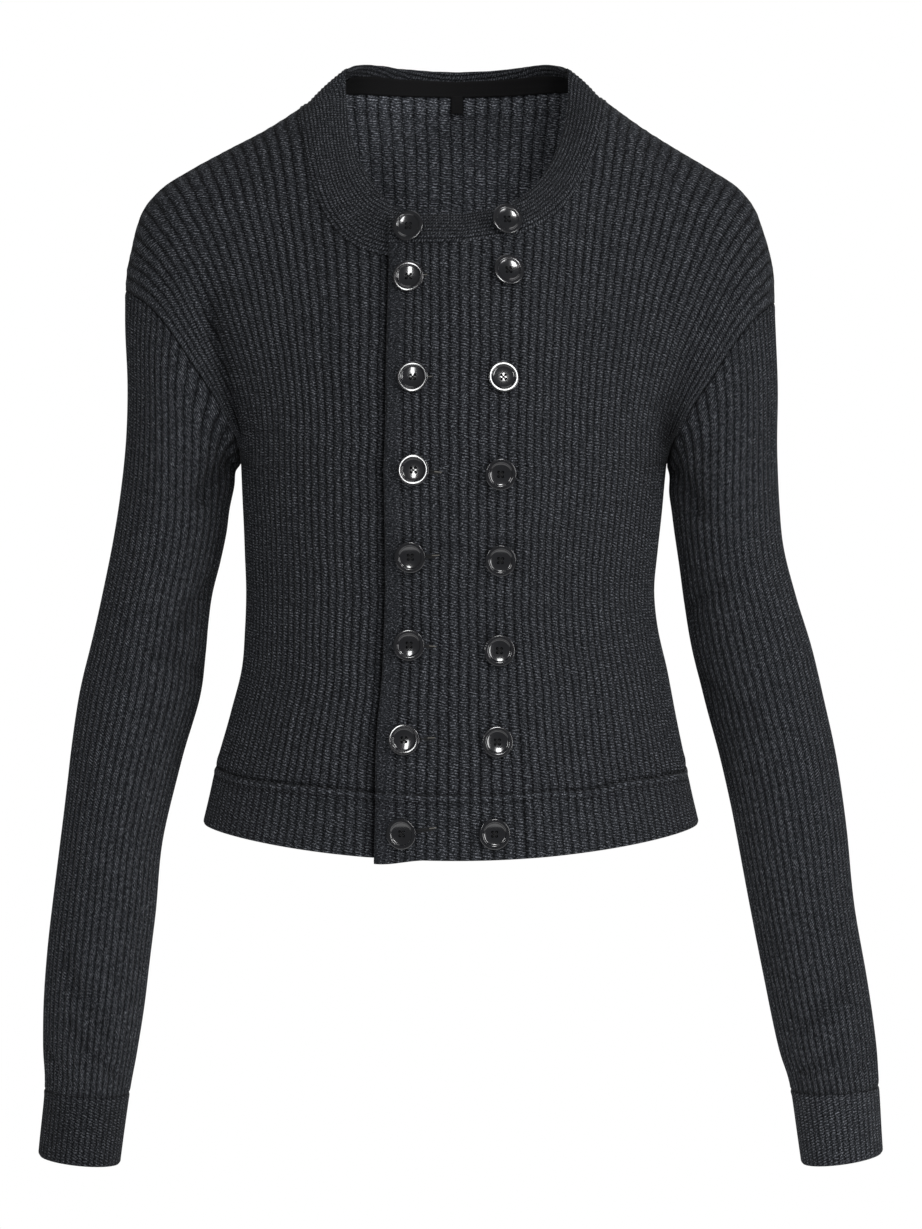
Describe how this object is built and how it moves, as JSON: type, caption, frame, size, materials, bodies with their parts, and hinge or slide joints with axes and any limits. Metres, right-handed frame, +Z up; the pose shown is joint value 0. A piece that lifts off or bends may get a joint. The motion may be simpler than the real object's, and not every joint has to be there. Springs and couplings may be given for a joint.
{
  "type": "button cardigan",
  "caption": "Short rib-knit cardigan in its worn form: double-breasted button front, round neckband, long sleeves, cuffs and hem band.",
  "frame": {"origin": "midway between the high shoulder points, at the middle of the depth, where the wearer's shoulders carry it", "axes": "+Z up, -Y out of the front, +X towards the wearer's left"},
  "size_m": [0.557, 0.2322, 0.722],
  "materials": {
    "rib_knit": "charcoal heather rib knit, matt",
    "fine_rib": "charcoal heather fine rib, matt",
    "tape_twill": "black woven tape",
    "button_plastic": "polished black"
  },
  "bodies": {
    "root": {"front_right": "rib_knit", "front_left": "rib_knit", "back": "rib_knit", "sleeve_right": "rib_knit", "sleeve_left": "rib_knit", "hem_band_right": "fine_rib", "hem_band_left": "fine_rib", "hem_band_back": "fine_rib", "cuff_right": "fine_rib", "cuff_left": "fine_rib", "neckband": "fine_rib", "back_neck_tape": "tape_twill", "neck_label": "tape_twill", "button_right_1": "button_plastic", "button_right_2": "button_plastic", "button_right_3": "button_plastic", "button_right_4": "button_plastic", "button_right_5": "button_plastic", "button_right_6": "button_plastic", "button_right_7": "button_plastic", "button_right_8": "button_plastic", "button_left_1": "button_plastic", "button_left_2": "button_plastic", "button_left_3": "button_plastic", "button_left_4": "button_plastic", "button_left_5": "button_plastic", "button_left_6": "button_plastic", "button_left_7": "button_plastic", "button_left_8": "button_plastic"}
  },
  "joints": []
}
